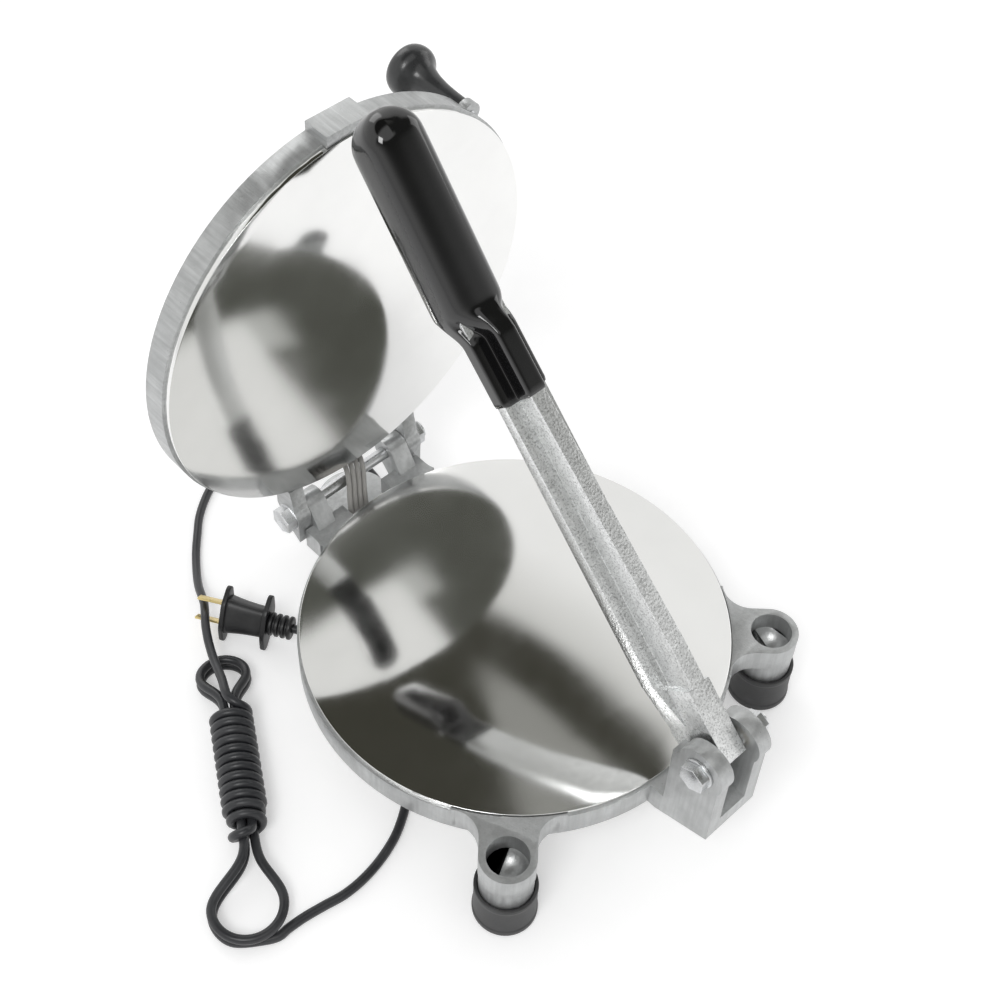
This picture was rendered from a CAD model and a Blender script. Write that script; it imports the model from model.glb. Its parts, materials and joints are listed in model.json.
"""Dresses the electric roti maker: finishes, castings, lever grip, knob, feet, leads and cord."""

import json
import logging
import math
from dataclasses import dataclass, field
from enum import Enum

import bmesh
import bpy
from mathutils import Matrix, Vector

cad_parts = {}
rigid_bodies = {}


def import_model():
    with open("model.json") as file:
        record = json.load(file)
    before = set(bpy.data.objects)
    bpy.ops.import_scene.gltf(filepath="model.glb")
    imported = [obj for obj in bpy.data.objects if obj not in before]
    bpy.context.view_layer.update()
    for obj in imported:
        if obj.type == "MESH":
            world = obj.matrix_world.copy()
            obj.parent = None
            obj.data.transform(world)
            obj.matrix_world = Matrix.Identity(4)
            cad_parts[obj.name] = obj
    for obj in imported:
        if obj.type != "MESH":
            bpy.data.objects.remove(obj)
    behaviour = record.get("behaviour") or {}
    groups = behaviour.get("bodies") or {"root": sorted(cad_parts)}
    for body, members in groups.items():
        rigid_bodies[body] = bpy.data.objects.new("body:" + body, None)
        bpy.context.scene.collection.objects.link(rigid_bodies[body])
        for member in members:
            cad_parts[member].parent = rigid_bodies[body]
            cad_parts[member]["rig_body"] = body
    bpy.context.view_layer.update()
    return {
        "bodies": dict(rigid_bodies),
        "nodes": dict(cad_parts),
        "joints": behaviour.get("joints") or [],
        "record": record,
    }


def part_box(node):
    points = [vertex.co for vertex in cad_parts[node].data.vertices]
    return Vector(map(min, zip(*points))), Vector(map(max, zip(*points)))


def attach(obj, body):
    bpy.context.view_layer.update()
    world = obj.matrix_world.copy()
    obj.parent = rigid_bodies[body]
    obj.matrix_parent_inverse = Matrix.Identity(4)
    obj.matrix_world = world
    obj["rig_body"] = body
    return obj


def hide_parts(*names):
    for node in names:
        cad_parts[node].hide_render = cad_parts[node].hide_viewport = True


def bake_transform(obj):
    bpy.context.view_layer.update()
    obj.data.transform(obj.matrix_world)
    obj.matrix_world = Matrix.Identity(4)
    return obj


LOG = logging.getLogger("roti_maker")
MM = 0.001
Colour = tuple[float, float, float]
Point = tuple[float, float, float]


# ------------------------------------------------------------------ materials


class Pattern(Enum):
    """How a noise pattern lies on a surface."""

    EVEN = (1.0, 1.0, 1.0)
    ALONG_X = (0.06, 1.0, 1.0)
    ALONG_Y = (1.0, 0.06, 1.0)
    ALONG_Z = (1.0, 1.0, 0.06)


class Shader:
    """A node material under construction, on Object coordinates."""

    def __init__(self, name: str) -> None:
        """Starts an empty material.

        Args:
            name: The material's name.
        """
        self.material = bpy.data.materials.new(name)
        self.material.use_nodes = True
        self.tree = self.material.node_tree
        self.tree.nodes.clear()
        self.output = self.tree.nodes.new("ShaderNodeOutputMaterial")
        self.surface = self.tree.nodes.new("ShaderNodeBsdfPrincipled")
        self.tree.links.new(self.surface.outputs[0], self.output.inputs[0])

    def add(self, kind: str, **settings: object) -> bpy.types.Node:
        """Adds a node and sets its properties.

        Args:
            kind: The node's type without its common prefix.
            **settings: Properties of the node.

        Returns:
            The new node.
        """
        node = self.tree.nodes.new("ShaderNode" + kind)
        for key, value in settings.items():
            setattr(node, key, value)
        return node

    def feed(self, node: bpy.types.Node, **sockets: object) -> bpy.types.Node:
        """Sets or links a node's inputs by name, with _ for a space.

        Args:
            node: The node to feed.
            **sockets: A value or an output socket for each input.

        Returns:
            The same node.
        """
        for key, value in sockets.items():
            target = node.inputs[key.replace("_", " ")]
            if isinstance(value, bpy.types.NodeSocket):
                self.tree.links.new(value, target)
            else:
                target.default_value = value
        return node

    def place(self, stretch: Point = (1, 1, 1), turn: Point = (0, 0, 0),
              centre: Point = (0, 0, 0)) -> bpy.types.NodeSocket:
        """Object coordinates, moved, turned and stretched.

        Args:
            stretch: Scale of each axis.
            turn: Turn about each axis in radians.
            centre: The point that becomes the pattern's origin.

        Returns:
            The vector socket.
        """
        coordinates = self.add("TexCoord").outputs["Object"]
        moved = self.feed(self.add("Mapping"), Vector=coordinates,
                          Location=tuple(-c for c in centre))
        turned = self.feed(self.add("Mapping"), Vector=moved.outputs[0], Rotation=turn, Scale=stretch)
        return turned.outputs[0]

    def noise(self, vector: bpy.types.NodeSocket, scale: float, detail: float = 4.0,
              rough: float = 0.55) -> bpy.types.NodeSocket:
        """A noise pattern's factor."""
        node = self.feed(self.add("TexNoise"), Vector=vector, Scale=scale, Detail=detail, Roughness=rough)
        return node.outputs[0]

    def cells(self, vector: bpy.types.NodeSocket, scale: float) -> bpy.types.NodeSocket:
        """The distance to the nearest cell centre of a Voronoi pattern."""
        return self.feed(self.add("TexVoronoi"), Vector=vector, Scale=scale).outputs["Distance"]

    def span(self, value: bpy.types.NodeSocket, low: float, high: float, start: float,
             end: float) -> bpy.types.NodeSocket:
        """Maps a value from low..high onto start..end, clamped."""
        node = self.add("MapRange")
        self.feed(node, Value=value, From_Min=low, From_Max=high, To_Min=start, To_Max=end)
        return node.outputs[0]

    def blend(self, amount: object, first: object, second: object) -> bpy.types.NodeSocket:
        """Mixes two colours."""
        node = self.add("MixRGB")
        for socket, value in zip(node.inputs, (amount, first, second)):
            if isinstance(value, bpy.types.NodeSocket):
                self.tree.links.new(value, socket)
            elif isinstance(value, tuple):
                socket.default_value = (*value, 1.0)
            else:
                socket.default_value = value
        return node.outputs[0]

    def bump(self, height: bpy.types.NodeSocket, depth: float, strength: float = 1.0,
             under: bpy.types.NodeSocket | None = None) -> bpy.types.NodeSocket:
        """A bump from a height pattern.

        Args:
            height: The pattern.
            depth: Height of the pattern in metres.
            strength: Share of the bump.
            under: A bump that this one lies on.

        Returns:
            The normal socket.
        """
        node = self.feed(self.add("Bump"), Height=height, Distance=depth, Strength=strength)
        if under is not None:
            self.feed(node, Normal=under)
        return node.outputs[0]


@dataclass(frozen=True)
class Finish:
    """A plain finish that the others build on."""

    name: str
    colour: Colour
    roughness: float
    metallic: float = 0.0

    def material(self) -> bpy.types.Material:
        """Builds the finish's material."""
        shader = Shader(self.name)
        shader.feed(shader.surface, Metallic=self.metallic)
        self.dress(shader)
        return shader.material

    def dress(self, shader: Shader) -> None:
        """Adds the finish's patterns to the shader."""
        raise NotImplementedError

    def darker(self, share: float) -> Colour:
        """The finish's colour times a share."""
        return tuple(c * share for c in self.colour)


@dataclass(frozen=True)
class CastFinish(Finish):
    """Cast aluminium: mottled, grained, with tool marks along one way."""

    pattern: Pattern = Pattern.EVEN
    grain: float = 900.0
    grain_depth: float = 0.0002
    mottle: float = 0.74
    marks: float = 0.0

    def dress(self, shader: Shader) -> None:
        """Mottle and grain everywhere, tool marks where the finish has them."""
        plain = shader.place()
        grain = shader.noise(plain, self.grain, 5.0, 0.65)
        mottle = shader.noise(plain, 55.0, 6.0, 0.6)
        marks = shader.noise(shader.place(self.pattern.value), 420.0, 3.0, 0.6)
        base = shader.blend(shader.span(mottle, 0.3, 0.7, 0.0, 1.0), self.darker(self.mottle), self.colour)
        streaked = shader.blend(shader.span(marks, 0.35, 0.65, self.marks, 0.0), base, self.darker(0.62))
        shader.feed(shader.surface, Base_Color=streaked,
                    Roughness=shader.span(grain, 0.3, 0.7, self.roughness - 0.07, self.roughness + 0.1))
        rough = shader.bump(grain, self.grain_depth, 0.5)
        shader.feed(shader.surface, Normal=shader.bump(marks, self.grain_depth * 1.5, self.marks, rough))


@dataclass(frozen=True)
class PolishedFinish(Finish):
    """A plate turned and then polished to a mirror, a little smeared."""

    centre: Point = (0.0, 0.0, 0.0)
    turn: Point = (0.0, 0.0, 0.0)
    ring_pitch: float = 0.0011

    def dress(self, shader: Shader) -> None:
        """Faint turning rings and smears under the polish."""
        flat = shader.place(turn=self.turn, centre=self.centre)
        rings = shader.add("TexWave", wave_type="RINGS", rings_direction="Z")
        shader.feed(rings, Vector=flat, Scale=math.tau / 20 / self.ring_pitch, Distortion=0.6,
                    Detail=2.0, Detail_Scale=1.5)
        smear = shader.noise(flat, 11.0, 5.0, 0.6)
        dust = shader.noise(flat, 260.0, 3.0, 0.6)
        tint = shader.blend(shader.span(smear, 0.3, 0.7, 0.0, 1.0), self.darker(0.93), self.colour)
        cloudy = shader.span(smear, 0.35, 0.7, self.roughness - 0.03, self.roughness + 0.04)
        shader.feed(shader.surface, Base_Color=tint, Roughness=cloudy)
        fine = shader.bump(rings.outputs["Fac"], 0.0000012, 0.35)
        shader.feed(shader.surface, Normal=shader.bump(dust, 0.000004, 0.25, fine))


@dataclass(frozen=True)
class SpeckledFinish(Finish):
    """Rough cast lever: bright ground with small dark speckles and pits."""

    speckle: float = 620.0

    def dress(self, shader: Shader) -> None:
        """Speckles in two sizes and a pitted bump."""
        plain = shader.place()
        pits = shader.cells(plain, self.speckle)
        cloud = shader.noise(plain, 170.0, 6.0, 0.7)
        fine = shader.noise(plain, 1000.0, 4.0, 0.7)
        ground = shader.blend(shader.span(cloud, 0.36, 0.6, 0.0, 1.0), self.darker(0.84), self.colour)
        dotted = shader.blend(shader.span(fine, 0.52, 0.6, 0.0, 0.7), ground, self.darker(0.36))
        shader.feed(shader.surface, Base_Color=dotted,
                    Roughness=shader.span(cloud, 0.3, 0.7, self.roughness + 0.04, self.roughness - 0.04))
        coarse = shader.bump(pits, 0.00022, 0.5)
        shader.feed(shader.surface, Normal=shader.bump(fine, 0.00012, 0.55, coarse))


@dataclass(frozen=True)
class MouldedFinish(Finish):
    """Moulded plastic, rubber or ceramic, with a fine skin."""

    skin: float = 1400.0
    skin_depth: float = 0.00003
    dust: float = 0.25
    coat: float = 0.0

    def dress(self, shader: Shader) -> None:
        """A fine skin, uneven gloss and a trace of dust."""
        plain = shader.place()
        skin = shader.noise(plain, self.skin, 4.0, 0.6)
        cloud = shader.noise(plain, 45.0, 5.0, 0.6)
        dusty = tuple(c + (0.32 - c) * 0.25 for c in self.colour)
        colour = shader.blend(shader.span(cloud, 0.45, 0.8, 0.0, self.dust), self.colour, dusty)
        shader.feed(shader.surface, Base_Color=colour, Coat_Weight=self.coat, Coat_Roughness=0.06,
                    Roughness=shader.span(cloud, 0.3, 0.75, self.roughness - 0.05, self.roughness + 0.08),
                    Normal=shader.bump(skin, self.skin_depth, 0.6))


@dataclass(frozen=True)
class PlatedFinish(Finish):
    """Plated or heat-tinted metal of small fittings."""

    stain: Colour = (0.45, 0.44, 0.42)

    def dress(self, shader: Shader) -> None:
        """Stains and a fine scratchy grain."""
        plain = shader.place()
        stain = shader.noise(plain, 160.0, 6.0, 0.65)
        grain = shader.noise(plain, 1700.0, 3.0, 0.6)
        shader.feed(shader.surface,
                    Base_Color=shader.blend(shader.span(stain, 0.5, 0.78, 0.0, 0.8), self.colour, self.stain),
                    Roughness=shader.span(stain, 0.3, 0.75, self.roughness - 0.06, self.roughness + 0.14),
                    Normal=shader.bump(grain, 0.00004, 0.5))


@dataclass(frozen=True)
class BrushedFinish(Finish):
    """Sheet with a brushed grain along one way."""

    pattern: Pattern = Pattern.ALONG_X

    def dress(self, shader: Shader) -> None:
        """Long fine scratches."""
        scratch = shader.noise(shader.place(self.pattern.value), 1300.0, 4.0, 0.7)
        cloud = shader.noise(shader.place(), 30.0, 4.0, 0.6)
        tone = shader.blend(shader.span(scratch, 0.3, 0.7, 0.0, 1.0), self.darker(0.82), self.colour)
        shader.feed(shader.surface, Base_Color=tone,
                    Roughness=shader.span(cloud, 0.3, 0.7, self.roughness - 0.05, self.roughness + 0.07),
                    Normal=shader.bump(scratch, 0.00003, 0.5))


@dataclass(frozen=True)
class WovenFinish(Finish):
    """Woven sleeving on thin leads."""

    weave: float = 520.0

    def dress(self, shader: Shader) -> None:
        """Two crossing sets of threads."""
        heights = []
        for way in (0.75, -0.75):
            band = shader.add("TexWave", wave_type="BANDS", bands_direction="Z")
            shader.feed(band, Vector=shader.place(turn=(way, way, 0.0)), Scale=self.weave, Distortion=0.4)
            heights.append(band.outputs["Fac"])
        cross = shader.add("Math", operation="MAXIMUM")
        for socket, height in zip(cross.inputs, heights):
            shader.tree.links.new(height, socket)
        tone = shader.blend(cross.outputs[0], self.darker(0.45), self.colour)
        shader.feed(shader.surface, Base_Color=tone, Roughness=self.roughness,
                    Normal=shader.bump(cross.outputs[0], 0.00025, 0.8))


# --------------------------------------------------------------------- places


@dataclass
class Places:
    """Where the object's main features are, read from the frame."""

    middle: Vector = field(default_factory=Vector)
    plate_top: float = 0.0
    hinge: Vector = field(default_factory=Vector)
    pivot: Vector = field(default_factory=Vector)
    open_angle: float = 0.0
    lever_lean: float = math.radians(44.0)

    @classmethod
    def from_frame(cls, frame: dict) -> "Places":
        """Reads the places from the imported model.

        Args:
            frame: What the frame's loader returned.

        Returns:
            The filled-in places.
        """
        low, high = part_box("lower_plate")
        joints = {joint["name"]: joint for joint in frame["joints"]}
        lid, lever = joints["lid_hinge"], joints["lever_swing"]
        return cls(
            middle=Vector(((low.x + high.x) / 2, (low.y + high.y) / 2, 0.0)),
            plate_top=high.z,
            hinge=Vector(lid["pos_m"]),
            pivot=Vector(lever["pos_m"]),
            open_angle=math.radians(lid["range_deg"][1]),
        )

    def drawn(self) -> Matrix:
        """From coordinates about the plate's centre to the frame's."""
        return Matrix.Translation(self.middle)

    def lid(self) -> Matrix:
        """From the shut lid, about the plate's centre, to the open one in the frame."""
        turn = Matrix.Rotation(-self.open_angle, 4, "X")
        return Matrix.Translation(self.hinge) @ turn @ Matrix.Translation(-self.hinge) @ self.drawn()

    def lever(self) -> Matrix:
        """From the lever's own frame, Y to its outer face and Z along it, to the frame."""
        lean = Matrix.Rotation(-self.lever_lean, 4, "X")
        return Matrix.Translation(self.pivot) @ lean @ Matrix.Scale(-1.0, 4, (0, 1, 0))


# -------------------------------------------------------------------- helpers


def spun(outline: list[tuple[float, float]], steps: int = 72) -> bmesh.types.BMesh:
    """Turns an outline of radius and height about Z.

    Args:
        outline: The points, from the axis or a bore round to it again.
        steps: Faces round the axis.

    Returns:
        The closed mesh.
    """
    bm = bmesh.new()
    verts = [bm.verts.new((radius, 0.0, height)) for radius, height in outline]
    for first, second in zip(verts, verts[1:]):
        bm.edges.new((first, second))
    if outline[0][0] > 0 and outline[-1][0] > 0:
        bm.edges.new((verts[-1], verts[0]))
    bmesh.ops.spin(bm, geom=bm.verts[:] + bm.edges[:], cent=(0, 0, 0), axis=(0, 0, 1),
                   angle=math.tau, steps=steps, use_merge=True)
    bmesh.ops.remove_doubles(bm, verts=bm.verts[:], dist=1e-6)
    bmesh.ops.recalc_face_normals(bm, faces=bm.faces[:])
    return bm


def rounded(outline: list[tuple[float, float]], radius: float, steps: int = 4) -> list[tuple[float, float]]:
    """Rounds the inner corners of an open outline.

    Args:
        outline: The corners.
        radius: The largest rounding.
        steps: Points along each rounding.

    Returns:
        The outline with rounded corners.
    """
    points = [Vector(p) for p in outline]
    made = [points[0]]
    for before, corner, after in zip(points, points[1:], points[2:]):
        back, ahead = before - corner, after - corner
        reach = min(radius, back.length / 2.2, ahead.length / 2.2)
        start, end = corner + back.normalized() * reach, corner + ahead.normalized() * reach
        for i in range(steps + 1):
            t = i / steps
            made.append(start * (1 - t) ** 2 + corner * 2 * t * (1 - t) + end * t ** 2)
    made.append(points[-1])
    return [(p.x, p.y) for p in made]


def lofted(rings: list[list[Point]]) -> bmesh.types.BMesh:
    """Joins rings of the same count into a closed skin.

    Args:
        rings: The rings' points, in order along the piece.

    Returns:
        The closed mesh.
    """
    bm = bmesh.new()
    loops = []
    for ring in rings:
        made = bmesh.ops.create_circle(bm, cap_ends=False, radius=1.0, segments=len(ring))["verts"]
        for vert, place in zip(made, ring):
            vert.co = place
        loops.append([edge for edge in bm.edges if edge.verts[0] in made and edge.verts[1] in made])
    for first, second in zip(loops, loops[1:]):
        bmesh.ops.bridge_loops(bm, edges=first + second)
    for loop in (loops[0], loops[-1]):
        bmesh.ops.contextual_create(bm, geom=loop)
    bmesh.ops.recalc_face_normals(bm, faces=bm.faces[:])
    return bm


def smooth_route(points: list[Point], step: float) -> list[Vector]:
    """A smooth curve through points, as closely spaced points.

    Args:
        points: The route's points.
        step: About how far the new points lie apart.

    Returns:
        The points along the curve.
    """
    knots = [Vector(p) for p in points]
    padded = [knots[0] * 2 - knots[1], *knots, knots[-1] * 2 - knots[-2]]
    made = []
    for a, b, c, d in zip(padded, padded[1:], padded[2:], padded[3:]):
        gaps = [max((q - p).length, 1e-6) ** 0.5 for p, q in ((a, b), (b, c), (c, d))]
        into = (b - a) / gaps[0] - (c - a) / (gaps[0] + gaps[1]) + (c - b) / gaps[1]
        out = (c - b) / gaps[1] - (d - b) / (gaps[1] + gaps[2]) + (d - c) / gaps[2]
        into, out = into * gaps[1], out * gaps[1]
        count = max(1, round((c - b).length / step))
        for i in range(count):
            t = i / count
            made.append(b * (2 * t ** 3 - 3 * t ** 2 + 1) + into * (t ** 3 - 2 * t ** 2 + t)
                        + c * (3 * t ** 2 - 2 * t ** 3) + out * (t ** 3 - t ** 2))
    made.append(knots[-1])
    return made


def route_length(points: list[Vector]) -> float:
    """Length along a list of points."""
    return sum((q - p).length for p, q in zip(points, points[1:]))


def ramp(t: float) -> float:
    """A smooth step from 0 to 1."""
    t = min(max(t, 0.0), 1.0)
    return t * t * (3 - 2 * t)


def oblong_reach(angle: float, size: tuple[float, float], power: float) -> float:
    """How far a rounded oblong reaches at an angle from its middle."""
    across, along = abs(math.cos(angle)) / (size[0] / 2), abs(math.sin(angle)) / (size[1] / 2)
    return (across ** power + along ** power) ** (-1 / power)


def merged(parts: list[bmesh.types.BMesh]) -> bmesh.types.BMesh:
    """Puts meshes together in one; they are freed."""
    whole = bmesh.new()
    for part in parts:
        mesh = bpy.data.meshes.new("part")
        part.to_mesh(mesh)
        part.free()
        whole.from_mesh(mesh)
        bpy.data.meshes.remove(mesh)
    return whole


def placed(name: str, data: bpy.types.ID) -> bpy.types.Object:
    """Makes an object of some data in the scene."""
    made = bpy.data.objects.new(name, data)
    bpy.context.scene.collection.objects.link(made)
    return made


class Bench:
    """Turns meshes into named pieces that ride on the model's bodies."""

    def __init__(self, nodes: dict[str, bpy.types.Object]) -> None:
        """Keeps the CAD nodes at hand.

        Args:
            nodes: The frame's nodes by name.
        """
        self.nodes = nodes
        self.bodies = {name: node["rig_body"] for name, node in nodes.items()}

    def piece(self, bm: bmesh.types.BMesh, name: str, material: bpy.types.Material, slot: str,
              node: str, place: Matrix | None = None, rides: bool = True) -> bpy.types.Object:
        """Makes a mesh a piece that stands for a CAD node.

        Args:
            bm: The mesh; it is freed.
            name: The piece's name.
            material: Its material.
            slot: The record's material slot.
            node: The CAD node that it replaces and whose body it rides on.
            place: Where the mesh goes.
            rides: Whether the piece rides on the node's body; one that bends doesn't.

        Returns:
            The new object.
        """
        if place is not None:
            bmesh.ops.transform(bm, matrix=place, verts=bm.verts[:])
            if place.determinant() < 0:
                bmesh.ops.reverse_faces(bm, faces=bm.faces[:])
        mesh = bpy.data.meshes.new(name)
        bm.to_mesh(mesh)
        bm.free()
        mesh.polygons.foreach_set("use_smooth", [True] * len(mesh.polygons))
        mesh.materials.append(material)
        made = placed(name, mesh)
        if rides:
            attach(made, self.bodies[node])
        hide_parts(node)
        LOG.info("%s: %d faces", name, len(mesh.polygons))
        return made

    def softened(self, node: str, material: bpy.types.Material, slot: str, width: float,
                 segments: int = 3, angle: float = 28.0) -> bpy.types.Object:
        """A copy of a CAD node with rounded edges, which stands for it.

        Args:
            node: The CAD node.
            material: Its material.
            slot: The record's material slot.
            width: Width of the rounded edges.
            segments: Faces across a rounded edge.
            angle: Edges sharper than this many degrees are rounded.

        Returns:
            The new object.
        """
        bm = bmesh.new()
        bm.from_mesh(self.nodes[node].data)
        bmesh.ops.remove_doubles(bm, verts=bm.verts[:], dist=2e-6)
        bmesh.ops.dissolve_limit(bm, angle_limit=math.radians(0.4), verts=bm.verts[:], edges=bm.edges[:])
        made = self.piece(bm, node + "_dressed", material, slot, node)
        bevel = made.modifiers.new("edges", "BEVEL")
        bevel.width = width
        bevel.segments = segments
        bevel.limit_method = "ANGLE"
        bevel.angle_limit = math.radians(angle)
        bevel.harden_normals = True
        bevel.use_clamp_overlap = True
        return made

    def finish(self, node: str, material: bpy.types.Material) -> None:
        """Gives a CAD node that stays in place its material."""
        mesh = self.nodes[node].data
        mesh.materials.clear()
        mesh.materials.append(material)
        LOG.info("%s: finished as it is", node)


# ------------------------------------------------------------- sub-assemblies


@dataclass
class Castings:
    """The two castings and the two cooking plates, with softened edges."""

    bench: Bench
    places: Places
    cast_edge: float = 1.1 * MM
    plate_edge: float = 0.7 * MM

    def build(self) -> None:
        """Dresses the castings and the plates."""
        tone = (0.57, 0.58, 0.58)
        base = CastFinish("cast_base", tone, 0.34, 0.7, Pattern.ALONG_Z, marks=0.45)
        lid = CastFinish("cast_lid", tone, 0.34, 0.7, Pattern.ALONG_Y, marks=0.65)
        self.bench.softened("base_casting", base.material(), "cast", self.cast_edge)
        self.bench.softened("lid_casting", lid.material(), "cast", self.cast_edge)
        lower = PolishedFinish("polish_lower", (0.88, 0.88, 0.87), 0.09, 1.0, tuple(self.places.middle))
        face = self.places.lid() @ Vector((0.0, 0.0, self.places.plate_top))
        upper = PolishedFinish("polish_upper", (0.88, 0.88, 0.87), 0.09, 1.0, tuple(face),
                               (self.places.open_angle, 0.0, 0.0))
        self.bench.softened("lower_plate", lower.material(), "plate", self.plate_edge)
        self.bench.softened("upper_plate", upper.material(), "plate", self.plate_edge)


@dataclass
class Feet:
    """Three rubber cups under the legs."""

    bench: Bench
    places: Places
    leg_r: float = 151 * MM
    leg_angle: float = 45.5
    rear_y: float = 146 * MM
    foot_r: float = 18.5 * MM
    mouth_r: float = 17.7 * MM
    bore_r: float = 15.65 * MM
    height: float = 29 * MM
    floor: float = 4 * MM

    def outline(self) -> list[tuple[float, float]]:
        """Radius and height round one cup's wall."""
        corners = [(0.0, 0.0), (self.foot_r - 1.2 * MM, 0.0), (self.foot_r, 1.6 * MM),
                   (self.foot_r, 5.0 * MM), (self.foot_r - 0.5 * MM, 6.0 * MM),
                   (self.mouth_r, self.height - 4.0 * MM), (self.mouth_r + 0.3 * MM, self.height - 3.0 * MM),
                   (self.mouth_r + 0.2 * MM, self.height), (self.bore_r + 0.4 * MM, self.height),
                   (self.bore_r, self.height - 1.2 * MM), (self.bore_r, self.floor), (0.0, self.floor)]
        return rounded(corners, 0.7 * MM, 3)

    def build(self) -> None:
        """Makes the three cups as one piece."""
        finish = MouldedFinish("rubber", (0.028, 0.028, 0.029), 0.5, skin=900.0, skin_depth=0.00012, dust=0.6)
        side, front = math.sin(math.radians(self.leg_angle)), -math.cos(math.radians(self.leg_angle))
        spots = [(-self.leg_r * side, self.leg_r * front), (self.leg_r * side, self.leg_r * front),
                 (0.0, self.rear_y)]
        cups = []
        for x, y in spots:
            cup = spun(self.outline())
            bmesh.ops.translate(cup, vec=self.places.middle + Vector((x, y, 0.0)), verts=cup.verts[:])
            cups.append(cup)
        self.bench.piece(merged(cups), "rubber_cups", finish.material(), "rubber", "rubber_feet")


@dataclass
class Knob:
    """The turned knob on the lid."""

    bench: Bench
    places: Places
    reach: float = 127.5 * MM
    angle: float = 45.0
    foot_z: float = 72.6 * MM
    stem_r: float = 6.5 * MM
    head_r: float = 15.5 * MM
    height: float = 50.5 * MM

    def outline(self) -> list[tuple[float, float]]:
        """Radius and height from the screw hole round to the top."""
        stem, head, top = self.stem_r, self.head_r, self.height
        corners = [(0.0, 11 * MM), (2 * MM, 11 * MM), (2 * MM, 0.0), (stem - 1.5 * MM, 0.0),
                   (stem - 1.2 * MM, 10 * MM), (stem - 0.6 * MM, top * 0.36), (stem + 0.8 * MM, top * 0.52),
                   (head * 0.62, top * 0.65), (head * 0.92, top * 0.74), (head, top * 0.8),
                   (head, top * 0.88), (head - 1.4 * MM, top * 0.95), (head - 4 * MM, top * 0.99),
                   (head * 0.5, top), (0.0, top)]
        return rounded(corners, 3.0 * MM, 5)

    def build(self) -> None:
        """Makes the knob where the CAD has it."""
        finish = MouldedFinish("phenolic", (0.024, 0.025, 0.026), 0.3, skin=700.0, dust=0.35, coat=0.15)
        across = math.radians(self.angle)
        place = self.places.lid() @ Matrix.Translation(
            (self.reach * math.sin(across), -self.reach * math.cos(across), self.foot_z))
        self.bench.piece(spun(self.outline(), 96), "turned_knob", finish.material(), "knob", "knob", place)


@dataclass
class Lever:
    """The press lever: a cast T section and its dipped grip."""

    bench: Bench
    places: Places
    neck_from: float = 214 * MM
    thick_from: float = 257 * MM
    tip: float = 374 * MM
    flange_w: float = 28 * MM
    flange_t: float = 7 * MM
    rib_w: float = 9.5 * MM
    back: float = -18 * MM
    face: float = 1 * MM
    skin: float = 1.2 * MM
    grip_w: float = 34 * MM
    grip_h: float = 34 * MM
    grip_y: float = -22 * MM
    grip_y_tip: float = -13.5 * MM
    grip_power: float = 3.0
    shoulder_lead: float = 7 * MM
    shoulder_l: float = 19 * MM
    tip_round: float = 17.5 * MM
    sides: int = 96

    @property
    def core(self) -> float:
        """Where the middle line of the dipped neck lies across the lever."""
        return self.back + self.flange_t * 0.7

    def neck_reach(self, angle: float) -> float:
        """How far the dipped T section reaches from the grip's middle line.

        Args:
            angle: Direction across the section, from X towards the outer face.

        Returns:
            The distance.
        """
        way = Vector((math.cos(angle), math.sin(angle)))
        low = self.back - self.skin
        boxes = [(self.flange_w / 2 + self.skin, self.back + self.flange_t + self.skin),
                 (self.rib_w / 2 + self.skin, self.face + self.skin)]
        reaches = []
        for half, high in boxes:
            limits = [half / abs(way.x)] if abs(way.x) > 1e-6 else []
            if abs(way.y) > 1e-6:
                limits.append(((high if way.y > 0 else low) - self.core) / way.y)
            reaches.append(min(limits))
        return max(reaches)

    def grip_ring(self, z: float) -> list[Point]:
        """The grip's skin at a distance along the lever."""
        share = ramp((z - self.thick_from + self.shoulder_lead) / self.shoulder_l)
        length = self.tip - self.thick_from
        middle = self.grip_y + (self.grip_y_tip - self.grip_y) * (z - self.thick_from) / length
        left = self.tip - z
        close = self.tip_round
        shrink = math.sqrt(max(0.0, 1 - (1 - left / close) ** 2)) if left < close else 1.0
        start = self.core * (1 - share) + middle * share
        ring = []
        for i in range(self.sides):
            angle = math.tau * i / self.sides
            thick = oblong_reach(angle, (self.grip_w * shrink, self.grip_h * shrink), self.grip_power)
            reach = self.neck_reach(angle) * (1 - share) + thick * share
            ring.append((reach * math.cos(angle), start + reach * math.sin(angle), z))
        return ring

    def stations(self) -> list[float]:
        """Where the grip's rings lie along the lever."""
        neck = [self.neck_from + 0.2 * MM + i * 4 * MM for i in range(9)]
        shoulder = [self.thick_from - self.shoulder_lead + i * 1.5 * MM for i in range(14)]
        hand = [self.thick_from + 20 * MM + i * 8 * MM for i in range(10)]
        close = [self.tip - self.tip_round * (1 - math.sin(math.radians(a))) for a in range(0, 90, 8)]
        return sorted({z for z in neck + shoulder + hand + close if z < self.tip - 0.1 * MM})

    def grip(self) -> None:
        """Makes the dipped grip."""
        finish = MouldedFinish("dipped_vinyl", (0.004, 0.004, 0.0045), 0.12, skin=90.0,
                               skin_depth=0.00008, dust=0.0, coat=0.5)
        bm = lofted([self.grip_ring(z) for z in self.stations()])
        for _ in range(2):
            inner = [v for v in bm.verts if v.co.z > self.neck_from + 2 * MM]
            bmesh.ops.smooth_vert(bm, verts=inner, factor=0.35, use_axis_x=True, use_axis_y=True)
        grip = self.bench.piece(bm, "dipped_grip", finish.material(), "grip", "lever_grip",
                                self.places.lever())
        soft = grip.modifiers.new("soft", "SUBSURF")
        soft.levels = soft.render_levels = 1

    def build(self) -> None:
        """Dresses the arm and the grip."""
        arm = SpeckledFinish("rough_cast", (0.88, 0.89, 0.89), 0.34, 1.0)
        self.bench.softened("lever_arm", arm.material(), "lever", 0.9 * MM)
        self.grip()


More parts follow.
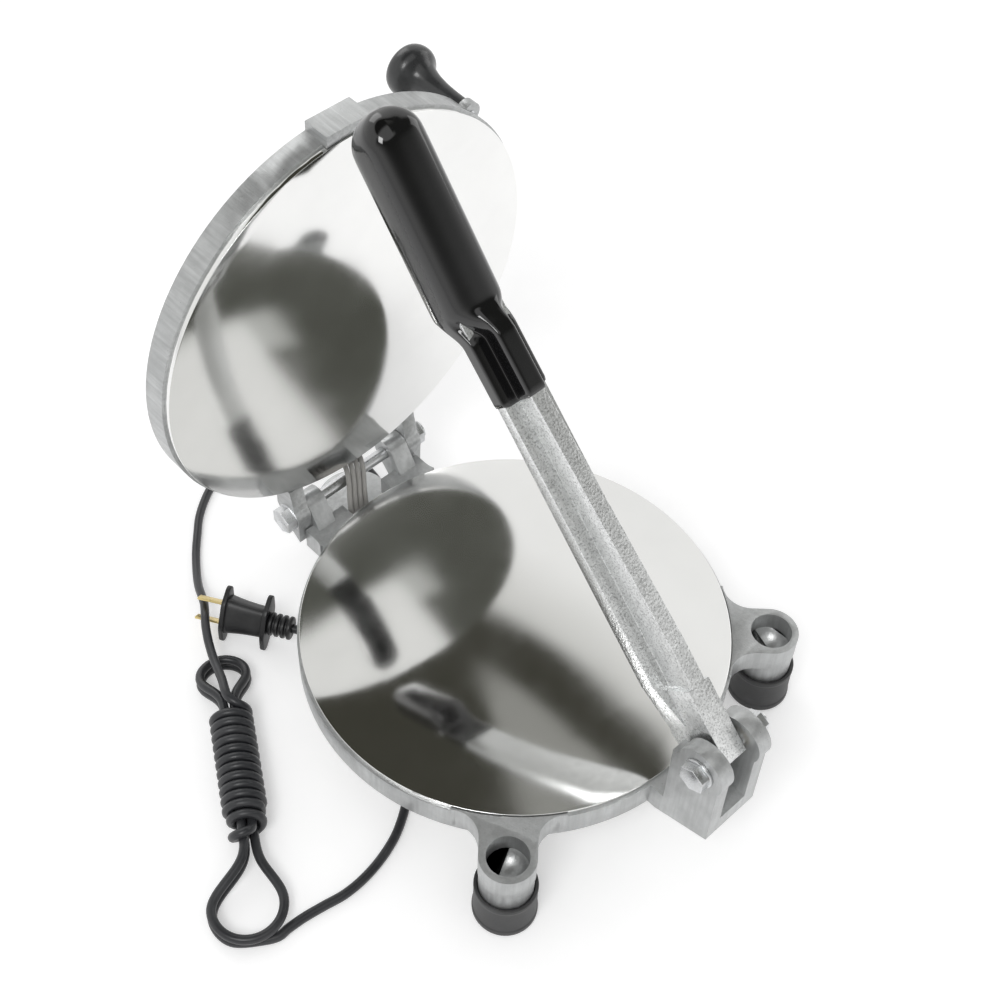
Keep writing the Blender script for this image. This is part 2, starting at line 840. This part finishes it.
@dataclass
class Fittings:
    """Bolts, nuts, washers and what the castings hide."""

    bench: Bench

    def build(self) -> None:
        """Dresses each fitting."""
        zinc = PlatedFinish("zinc", (0.66, 0.67, 0.68), 0.27, 1.0).material()
        for node in ("hinge_bolt", "hinge_nut", "lever_bolt", "lever_nut", "lever_washers"):
            self.bench.softened(node, zinc, "hardware", 0.45 * MM)
        for node in ("lower_plate_screws", "lower_clamp_screws", "bottom_cover_screws", "upper_plate_screws",
                     "upper_clamp_screws", "lid_cover_screws"):
            self.bench.softened(node, zinc, "hardware", 0.4 * MM, 2)
        self.bench.finish("knob_screw", zinc)
        sheet = BrushedFinish("sheet", (0.56, 0.56, 0.55), 0.3, 1.0).material()
        self.bench.softened("bottom_cover", sheet, "sheet", 0.4 * MM, 2)
        self.bench.softened("lid_cover", sheet, "sheet", 0.4 * MM, 2)
        self.bench.finish("lower_clamp", sheet)
        self.bench.finish("upper_clamp", sheet)
        sheath = PlatedFinish("sheath", (0.32, 0.31, 0.3), 0.42, 1.0, (0.22, 0.16, 0.12)).material()
        self.bench.finish("lower_element", sheath)
        self.bench.finish("upper_element", sheath)
        brass = PlatedFinish("brass", (0.72, 0.58, 0.27), 0.3, 1.0, (0.5, 0.42, 0.26)).material()
        self.bench.finish("earth_screw", brass)
        self.bench.softened("lever_bush", brass, "brass", 0.3 * MM, 2)
        self.bench.softened("plug_blades", brass, "brass", 0.35 * MM, 2)
        ceramic = MouldedFinish("ceramic", (0.74, 0.71, 0.62), 0.6, skin_depth=0.00008).material()
        self.bench.finish("terminal_block", ceramic)
        self.bench.finish("lead_bush", ceramic)
        black = MouldedFinish("moulded_black", (0.014, 0.014, 0.015), 0.42).material()
        self.bench.finish("thermostat", black)
        self.bench.softened("cord_gland", black, "plug", 0.5 * MM, 2)
        self.bench.finish("base_leads", WovenFinish("sleeving", (0.42, 0.41, 0.38), 0.75).material())


@dataclass
class LinkLeads:
    """Four sleeved leads that cross from the base to the lid and bend with it."""

    bench: Bench
    places: Places
    lead_r: float = 1.7 * MM
    first_x: float = -13.6 * MM
    pitch: float = 4.0 * MM
    shift: float = 11 * MM
    ring_r: float = 128.5 * MM
    low_z: float = 47 * MM
    gate_z: float = 74.2 * MM
    bend_below: float = 5 * MM
    bend_above: float = 16 * MM
    count: int = 4
    sides: int = 12

    def route(self, index: int) -> list[Vector]:
        """One lead's route from under the plate to the lid's gate."""
        ring, low, gate = self.ring_r, self.low_z, self.gate_z
        hinge_y, hinge_z = self.places.hinge.y - self.places.middle.y, self.places.hinge.z
        x = self.first_x + self.pitch * index
        far = x + self.shift
        base = [(x, ring - 11 * MM, low), (x, ring - 1 * MM, low), (x, ring + 3 * MM, low + 2 * MM),
                (x + self.shift * 0.15, hinge_y - 12 * MM, hinge_z - 5.5 * MM),
                (x + self.shift * 0.4, hinge_y - 8.5 * MM, hinge_z + 1 * MM),
                (x + self.shift * 0.65, hinge_y - 4.5 * MM, hinge_z + 6.5 * MM),
                (x + self.shift * 0.88, hinge_y + 1.5 * MM, hinge_z + 10.5 * MM)]
        lid = [(far, ring + 6 * MM, gate - 0.5 * MM), (far, ring + 2 * MM, gate), (far, ring - 2 * MM, gate)]
        points = [self.places.drawn() @ Vector(p) for p in base]
        points += [self.places.lid() @ Vector(p) for p in lid]
        return smooth_route(points, 1.2 * MM)

    def build(self) -> None:
        """Makes the leads as one mesh that bends across the hinge."""
        finish = WovenFinish("lead_sleeving", (0.40, 0.39, 0.37), 0.7, weave=640.0)
        strands = []
        for index in range(self.count):
            route = self.route(index)
            rings = []
            for i, point in enumerate(route):
                way = (route[min(i + 1, len(route) - 1)] - route[max(i - 1, 0)]).normalized()
                up = way.cross(Vector((1, 0, 0))).normalized()
                rings.append([point + (Vector((1, 0, 0)) * math.cos(a) + up * math.sin(a)) * self.lead_r
                              for a in (math.tau * k / self.sides for k in range(self.sides))])
            strands.append(lofted(rings))
        made = self.bench.piece(merged(strands), "sleeved_leads", finish.material(), "sleeving",
                                "link_leads", rides=False)
        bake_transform(made)


@dataclass
class MainsCord:
    """The mains cord in one length: out of the gland, through the hank and into the plug."""

    bench: Bench
    places: Places
    diameter: float = 5.6 * MM
    strand: float = 6.1
    layer: float = 6.5
    bottom_tip: float = 104.5
    top_tip: float = 82.0
    bottom_half: float = 21.0
    top_half: float = 15.0
    bottom_shift: float = -6.5
    top_shift: float = -1.0
    bottom_waist: float = 53.0
    top_waist: float = 46.0
    wrap_r: float = 10.6
    wrap_from: float = -38.0
    wrap_turns: int = 13
    hank_place: Point = (-167.5, 56.0, 0.0)
    hank_turn: float = -30.5
    plug_end: Point = (-82.5, 110.0, 16.2)
    plug_turn: float = 32.0
    boot_z: float = 19.5
    boot_l: float = 27.0
    gland: tuple[float, float] = (-40.0, 20.0)
    gland_turn: float = 210.0
    easing: int = 10
    easing_lead: int = 8
    loop_step: int = 5
    wrap_step: int = 15

    @property
    def cord_r(self) -> float:
        """Half the cord's diameter, in millimetres."""
        return self.diameter / MM / 2

    @property
    def plug_way(self) -> Vector:
        """The way that the plug points."""
        turn = math.radians(self.plug_turn)
        return Vector((-math.sin(turn), math.cos(turn), 0.0))

    def from_hank(self, point: Point) -> Vector:
        """A point of the hank's own frame, about the plate's centre."""
        return Matrix.Translation(self.hank_place) @ Matrix.Rotation(math.radians(self.hank_turn), 4, "Z") \
            @ Vector(point)

    def loop_point(self, angle: float) -> Vector:
        """A point of the two loops, whose angle falls as the cord goes on."""
        rise, across = math.sin(math.radians(angle)), math.cos(math.radians(angle))
        up = rise > 0
        tip, half, waist, shift = (
            (self.top_tip, self.top_half, self.top_waist, self.top_shift) if up
            else (self.bottom_tip, self.bottom_half, self.bottom_waist, self.bottom_shift))
        y = tip * rise
        away = abs(y)
        spread = ramp((away - waist) / (tip - half - waist))
        round_end = math.sqrt(max(0.0, 1 - (max(0.0, away - tip + half) / half) ** 2))
        side = 0.0 if abs(across) < 0.01 else math.copysign(1.0, across)
        lift = (self.wrap_r - self.layer / 2) * (1 - ramp((away - waist) / 30))
        reach = self.strand / 2 + (half - self.strand / 2) * spread
        return self.from_hank((side * reach * round_end + shift * spread, y,
                               self.cord_r + ramp((-28 - angle) / 24) * self.layer + lift))

    def wrap_point(self, radius: float, angle: float, y: float) -> Vector:
        """A point of the winding round the waist."""
        turn = math.radians(angle)
        return self.from_hank((radius * math.cos(turn), y,
                               self.cord_r + self.wrap_r + radius * math.sin(turn)))

    def lead_route(self) -> list[Vector]:
        """From the gland down to the floor and out to the hank."""
        turn = math.radians(self.gland_turn)
        way = Vector((math.cos(turn), math.sin(turn), 0.0))
        start = Vector((*self.gland, self.boot_z)) + way * self.boot_l
        rest = [(-78, -2, 16.5), (-85, -6.5, 12.3), (-91.5, -11, 7.8), (-98, -15.5, 4.4), (-105, -21, 2.8),
                (-115, -28, 2.8), (-126, -34, 2.8), (-141, -39, 2.8), (-156, -41.5, 2.8), (-170, -41.5, 2.8),
                (-183, -39, 2.8), (-196, -36.8, 2.8), (-207, -36, 2.8), (-213, -36, 2.8)]
        return [start, start + way * 3 * self.cord_r, *(Vector(p) for p in rest)]

    def hank_points(self) -> list[Vector]:
        """Two loops, drawn in at the waist, and the winding round it."""
        inner_r = math.hypot(self.strand, self.layer) / 2
        inner_a = math.degrees(math.atan2(self.layer, self.strand))
        wrap_a, off_turn = inner_a + 200, 60.0
        end_a = 360 * self.wrap_turns + 35

        def wrap_y(angle: float) -> float:
            """How far along the waist the winding is."""
            return self.wrap_from + self.strand * (angle - wrap_a) / 360

        made = []
        angle = 255.0
        while angle >= -375:
            made.append(self.loop_point(angle))
            angle -= self.loop_step
        for i in range(20):
            t = i / 20
            made.append(self.wrap_point(inner_r + (self.wrap_r - inner_r) * ramp(1.7 * t),
                                        inner_a + 200 * t ** 1.6,
                                        self.wrap_from + 1 - t - 9 * math.sin(math.pi * t)))
        angle = wrap_a
        while angle < end_a - 1:
            made.append(self.wrap_point(self.wrap_r, angle, wrap_y(angle)))
            angle += self.wrap_step
        off_l = self.wrap_r * math.radians(off_turn)
        for v in range(0, 91, 15):
            swing = math.radians(v)
            made.append(self.wrap_point(self.wrap_r, end_a + off_turn * math.sin(swing),
                                        wrap_y(end_a) + off_l * (1 - math.cos(swing))))
        over = [(-1.8, 58, 21.8), (-3, 65, 20.2), (-4.3, 72, 19), (-5.4, 79, 18.2), (-6.2, 86, 17.6),
                (-6.7, 92, 17.3)]
        return made + [self.from_hank(p) for p in over]

    def tail_route(self) -> list[Vector]:
        """Round behind the lid, back under the base and into the plug."""
        route = [(-121, 148.5, 17.2), (-117.8, 153.1, 17.1), (-114.4, 158, 16.2), (-111, 163.4, 14.8),
                 (-107.5, 171, 12), (-103.5, 180, 8.5), (-98.5, 189, 5.2), (-92, 199, 3.2),
                 (-85, 208.5, 2.8), (-76, 219, 2.8), (-66, 230, 2.8), (-51, 241.5, 2.8), (-34, 250, 2.8),
                 (-16, 253, 2.8), (2, 249, 2.8), (18, 240, 2.8), (31, 227, 2.8), (40, 211, 2.8),
                 (44, 194, 2.8), (43, 177, 2.8), (38, 161, 2.8), (31, 146, 2.8), (26, 130, 2.8),
                 (20, 114, 2.8), (12, 99, 2.8), (0, 87, 2.8), (-14, 79.5, 2.8), (-28, 76, 3.8),
                 (-41, 76, 6.4), (-53, 79.5, 9.6), (-63.5, 86, 12.9), (-71.5, 94.5, 15.4)]
        end = Vector(self.plug_end)
        return [Vector(p) for p in route] + [end - self.plug_way * 2 * self.cord_r, end]

    def path(self) -> list[Vector]:
        """The whole cord's centre line, in metres, in the frame."""
        lead, hank, tail = self.lead_route(), self.hank_points(), self.tail_route()
        whole = smooth_route([self.places.middle + p * MM for p in lead + hank + tail], 2.2 * MM)
        start = self.places.middle + hank[0] * MM
        wound = self.places.middle + self.wrap_point(self.wrap_r, 40, self.wrap_from + self.strand) * MM
        first = min(range(len(whole)), key=lambda i: (whole[i] - start).length)
        last = min(range(len(whole)), key=lambda i: (whole[i] - wound).length)
        start_at = first - self.easing_lead
        for _ in range(self.easing):
            eased = [(a + b * 2 + c) / 4 for a, b, c in zip(whole, whole[1:], whole[2:])]
            whole[start_at:last] = eased[start_at - 1:last - 1]
        for point in whole:
            point.z = max(point.z, self.diameter / 2)
        return whole

    def build(self) -> bpy.types.Object:
        """Returns:
            The cord.
        """
        path = self.path()
        curve = bpy.data.curves.new("mains_cord", "CURVE")
        curve.dimensions = "3D"
        curve.bevel_depth = self.diameter / 2
        curve.bevel_resolution = 4
        curve.use_fill_caps = True
        line = curve.splines.new("POLY")
        line.points.add(len(path) - 1)
        for place, point in zip(line.points, path):
            place.co = (*point, 1.0)
        finish = MouldedFinish("cord_sheath", (0.021, 0.022, 0.025), 0.36, skin=600.0,
                               skin_depth=0.00004, dust=0.3)
        curve.materials.append(finish.material())
        made = placed("mains_cord", curve)
        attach(made, "base")
        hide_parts("cord_lead", "cord_hank", "cord_tail")
        LOG.info("mains_cord: %.3f m", route_length(path))
        return made


@dataclass
class Plug:
    """The moulded plug, rolled on the tips of its flanges."""

    bench: Bench
    places: Places
    cord: MainsCord
    roll: float = 37.0
    length: float = 45.5 * MM
    relief_l: float = 15.4 * MM
    relief_r: float = 6.5 * MM
    flange_t: float = 3 * MM
    flange_half: float = 18 * MM
    flange_half_w: float = 9 * MM
    flange_tip: float = 2.5 * MM
    flange_wide_to: float = 8 * MM
    section_power: float = 4.5
    rear: tuple[float, float] = (13 * MM, 18.5 * MM)
    front: tuple[float, float] = (16 * MM, 24 * MM)

    def place(self) -> Matrix:
        """From the plug's own frame, Z along it, to the frame."""
        return (self.places.drawn() @ Matrix.Translation(Vector(self.cord.plug_end) * MM)
                @ Matrix.Rotation(math.radians(self.cord.plug_turn), 4, "Z")
                @ Matrix.Rotation(math.radians(-90), 4, "X")
                @ Matrix.Rotation(math.radians(self.roll), 4, "Z"))

    def relief(self) -> bmesh.types.BMesh:
        """The ribbed strain relief."""
        hole = self.cord.diameter / 2
        corners = [(hole, 0.0), (self.relief_r - 0.6 * MM, 0.0)]
        pitch = 4 * MM
        for i in range(4):
            low = 0.6 * MM + i * pitch
            corners += [(self.relief_r + 0.9 * MM, low), (self.relief_r + 0.9 * MM, low + 1.9 * MM),
                        (self.relief_r - 0.9 * MM, low + 2.3 * MM),
                        (self.relief_r - 0.9 * MM, low + 3.5 * MM)]
        corners += [(self.relief_r, self.relief_l + 0.5 * MM), (hole, self.relief_l + 0.5 * MM)]
        return spun(rounded(corners, 0.5 * MM, 3), 48)

    def flange(self, z: float) -> bmesh.types.BMesh:
        """A pointed oval flange with rounded edges."""
        bm = bmesh.new()
        outline = []
        for v in (1, -1):
            outline += [(self.flange_half_w * v, self.flange_wide_to * v),
                        (self.flange_tip * v, self.flange_half * v),
                        (-self.flange_tip * v, self.flange_half * v),
                        (-self.flange_half_w * v, self.flange_wide_to * v)]
        face = bm.faces.new([bm.verts.new((x, y, z)) for x, y in outline])
        made = bmesh.ops.extrude_face_region(bm, geom=[face])["geom"]
        far = [g for g in made if isinstance(g, bmesh.types.BMVert)]
        bmesh.ops.translate(bm, vec=(0, 0, self.flange_t), verts=far)
        bmesh.ops.recalc_face_normals(bm, faces=bm.faces[:])
        upright = [e for e in bm.edges if abs(e.verts[0].co.z - e.verts[1].co.z) > self.flange_t / 2]
        bmesh.ops.bevel(bm, geom=upright, offset=2.2 * MM, segments=5, profile=0.5, affect="EDGES",
                        material=-1)
        rims = [e for e in bm.edges if abs(e.verts[0].co.z - e.verts[1].co.z) < 1e-6
                and len(e.link_faces) == 2 and e.calc_face_angle(0.0) > 1.0]
        bmesh.ops.bevel(bm, geom=rims, offset=0.6 * MM, segments=3, profile=0.5, affect="EDGES",
                        material=-1)
        return bm

    def section(self, size: tuple[float, float], z: float, sides: int = 48) -> list[Point]:
        """A rounded oblong across the plug's body."""
        ring = []
        for i in range(sides):
            angle = math.tau * i / sides
            reach = oblong_reach(angle, size, self.section_power)
            ring.append((reach * math.cos(angle), reach * math.sin(angle), z))
        return ring

    def body(self) -> bmesh.types.BMesh:
        """The tapered body between the two flanges."""
        start, end = self.relief_l + self.flange_t * 0.5, self.length - self.flange_t * 0.5
        rings = []
        for i in range(9):
            t = i / 8
            dip = 1 - 0.06 * math.sin(math.pi * t)
            size = tuple((a + (b - a) * t) * dip for a, b in zip(self.rear, self.front))
            rings.append(self.section(size, start + (end - start) * t))
        return lofted(rings)

    def build(self) -> bpy.types.Object:
        """Makes the plug's moulding.

        Returns:
            The moulding.
        """
        finish = MouldedFinish("plug_black", (0.011, 0.011, 0.012), 0.4, skin=900.0, dust=0.3)
        whole = merged([self.relief(), self.flange(self.relief_l), self.body(),
                        self.flange(self.length - self.flange_t)])
        return self.bench.piece(whole, "plug_moulding", finish.material(), "plug", "plug_body", self.place())


# --------------------------------------------------------------------- studio


@dataclass
class Studio:
    """Pale floor, soft lamps, the surround that the metal mirrors, and the camera."""

    middle: Vector
    camera_place: Point = (-0.41316, -0.38185, 0.85789)
    camera_right: Point = (0.73906, -0.67363, 0.0)
    camera_up: Point = (0.51298, 0.56282, 0.64814)
    lens: float = 59.25
    shift: tuple[float, float] = (0.0669, -0.0310)
    wall: Colour = (0.93, 0.93, 0.92)
    wall_top: Colour = (0.70, 0.70, 0.68)
    ceiling: Colour = (0.048, 0.047, 0.037)
    glimmer: Colour = (0.30, 0.30, 0.28)
    dark_side: Colour = (0.086, 0.088, 0.075)
    screen: Colour = (0.56, 0.57, 0.55)
    plain_light: Colour = (0.62, 0.62, 0.62)
    wall_fade: tuple[float, float] = (0.72, 0.81)
    roof_line: tuple[float, float] = (0.805, 0.828)
    glimmer_foot: tuple[float, float] = (0.862, 0.872)
    glimmer_side: tuple[float, float] = (0.345, 0.365)
    dark_rise: tuple[float, float] = (0.15, 0.62)
    screen_side: tuple[float, float] = (0.408, 0.372)
    screen_foot: tuple[float, float] = (0.695, 0.73)
    screen_head: tuple[float, float] = (0.835, 0.80)
    corner_side: tuple[float, float] = (0.335, 0.31)
    corner_foot: tuple[float, float] = (0.70, 0.76)
    halves_meet: tuple[float, float] = (-0.12, 0.12)
    floor_half: float = 12.0
    floor_drop: float = 0.3 * MM
    floor_glow: float = 0.34
    lamp_aim: Point = (0.0, 0.0, 0.08)

    def camera(self) -> None:
        """Makes the camera at the photograph's viewing angle."""
        data = bpy.data.cameras.new("camera")
        data.lens = self.lens
        data.sensor_width = 36.0
        data.shift_x, data.shift_y = self.shift
        right, up = Vector(self.camera_right).normalized(), Vector(self.camera_up).normalized()
        turn = Matrix((right, up, right.cross(up))).transposed().to_4x4()
        made = placed("camera", data)
        made.matrix_world = Matrix.Translation(self.middle + Vector(self.camera_place)) @ turn
        bpy.context.scene.camera = made

    def floor(self) -> None:
        """Makes the plain pale floor."""
        bm = bmesh.new()
        bmesh.ops.create_grid(bm, x_segments=4, y_segments=4, size=self.floor_half)
        bmesh.ops.translate(bm, vec=(0, 0, -self.floor_drop), verts=bm.verts[:])
        mesh = bpy.data.meshes.new("floor")
        bm.to_mesh(mesh)
        bm.free()
        shader = Shader("pale_floor")
        grain = shader.noise(shader.place(), 35.0, 3.0, 0.5)
        tone = shader.blend(shader.span(grain, 0.3, 0.7, 0.0, 1.0), (0.80, 0.80, 0.80), (0.82, 0.82, 0.82))
        shader.feed(shader.surface, Base_Color=tone, Roughness=0.9, Specular_IOR_Level=0.1)
        seen = shader.add("LightPath")
        both = shader.add("Math", operation="MAXIMUM")
        shader.tree.links.new(seen.outputs["Is Camera Ray"], both.inputs[0])
        shader.tree.links.new(seen.outputs["Is Glossy Ray"], both.inputs[1])
        glow = shader.add("Math", operation="MULTIPLY")
        shader.tree.links.new(both.outputs[0], glow.inputs[0])
        glow.inputs[1].default_value = self.floor_glow
        shader.feed(shader.surface, Emission_Color=(1.0, 1.0, 1.0, 1.0), Emission_Strength=glow.outputs[0])
        mesh.materials.append(shader.material)
        placed("floor", mesh)

    def lamp(self, name: str, place: Point, size: float, power: float) -> None:
        """Adds a square soft lamp that looks at the object."""
        data = bpy.data.lights.new(name, "AREA")
        data.shape = "SQUARE"
        data.size = size
        data.energy = power
        made = placed(name, data)
        made.location = place
        made.rotation_mode = "QUATERNION"
        made.rotation_quaternion = (Vector(self.lamp_aim) - Vector(place)).to_track_quat("-Z", "Y")

    def surround(self) -> None:
        """What the metal mirrors: white walls, a dark ceiling and a dark side with a pale screen."""
        world = bpy.data.worlds.new("surround")
        bpy.context.scene.world = world
        world.use_nodes = True
        tree = world.node_tree
        tree.nodes.clear()

        def link(value: object, socket: bpy.types.NodeSocket) -> None:
            """Links a socket or sets a plain value."""
            if isinstance(value, bpy.types.NodeSocket):
                tree.links.new(value, socket)
            else:
                socket.default_value = (*value, 1.0) if isinstance(value, tuple) else value

        def step(value: bpy.types.NodeSocket, low: float, high: float) -> bpy.types.NodeSocket:
            """A smooth step from 0 at low to 1 at high."""
            node = tree.nodes.new("ShaderNodeMapRange")
            node.interpolation_type = "SMOOTHSTEP"
            for name, amount in (("Value", value), ("From Min", low), ("From Max", high)):
                link(amount, node.inputs[name])
            return node.outputs[0]

        def both(first: bpy.types.NodeSocket, second: bpy.types.NodeSocket) -> bpy.types.NodeSocket:
            """The product of two amounts."""
            node = tree.nodes.new("ShaderNodeMath")
            node.operation = "MULTIPLY"
            link(first, node.inputs[0])
            link(second, node.inputs[1])
            return node.outputs[0]

        def mix(amount: object, first: object, second: object) -> bpy.types.NodeSocket:
            """Mixes two colours."""
            node = tree.nodes.new("ShaderNodeMixRGB")
            for socket, value in zip(node.inputs, (amount, first, second)):
                link(value, socket)
            return node.outputs[0]

        way = tree.nodes.new("ShaderNodeTexCoord")
        split = tree.nodes.new("ShaderNodeSeparateXYZ")
        tree.links.new(way.outputs["Generated"], split.inputs[0])
        across, depth, height = split.outputs
        walls = mix(step(height, *self.wall_fade), self.wall, self.wall_top)
        shine = both(step(height, *self.glimmer_foot), step(across, *self.glimmer_side))
        behind = mix(step(height, *self.roof_line), walls, mix(shine, self.ceiling, self.glimmer))
        ahead = mix(step(height, *self.dark_rise), self.wall, self.dark_side)
        tall = both(step(height, *self.screen_foot), step(height, *self.screen_head))
        ahead = mix(both(step(across, *self.screen_side), tall), ahead, self.screen)
        corner = both(step(across, *self.corner_side), step(height, *self.corner_foot))
        ahead = mix(corner, ahead, self.wall)
        mirrored = mix(step(depth, *self.halves_meet), ahead, behind)
        seen = tree.nodes.new("ShaderNodeLightPath")
        plain = mix(seen.outputs["Is Glossy Ray"], self.plain_light, mirrored)
        clear = mix(seen.outputs["Is Camera Ray"], plain, (1.0, 1.0, 1.0))
        light = tree.nodes.new("ShaderNodeBackground")
        tree.links.new(clear, light.inputs["Color"])
        out = tree.nodes.new("ShaderNodeOutputWorld")
        tree.links.new(light.outputs[0], out.inputs["Surface"])

    def build(self) -> None:
        """Sets up the whole studio."""
        self.camera()
        self.floor()
        self.lamp("key", (-1.3, -0.6, 1.9), 0.8, 17.0)
        self.lamp("fill", (2.1, -0.3, 1.2), 1.2, 6.0)
        self.lamp("rim", (0.4, 1.9, 1.5), 1.2, 7.0)
        self.surround()
        bpy.context.scene.view_settings.view_transform = "Standard"


# ----------------------------------------------------------------------- main


def main() -> None:
    """Builds the pieces in order."""
    logging.basicConfig(level=logging.INFO, format="%(message)s")
    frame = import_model()
    places = Places.from_frame(frame)
    Studio(places.middle).build()
    bench = Bench(frame["nodes"])
    mains = MainsCord(bench, places)
    cord = mains.build()
    plug = Plug(bench, places, mains).build()
    Castings(bench, places).build()
    Feet(bench, places).build()
    Knob(bench, places).build()
    Lever(bench, places).build()
    Fittings(bench).build()
    LinkLeads(bench, places).build()
    path = mains.path()


if __name__ == "__main__":
    main()
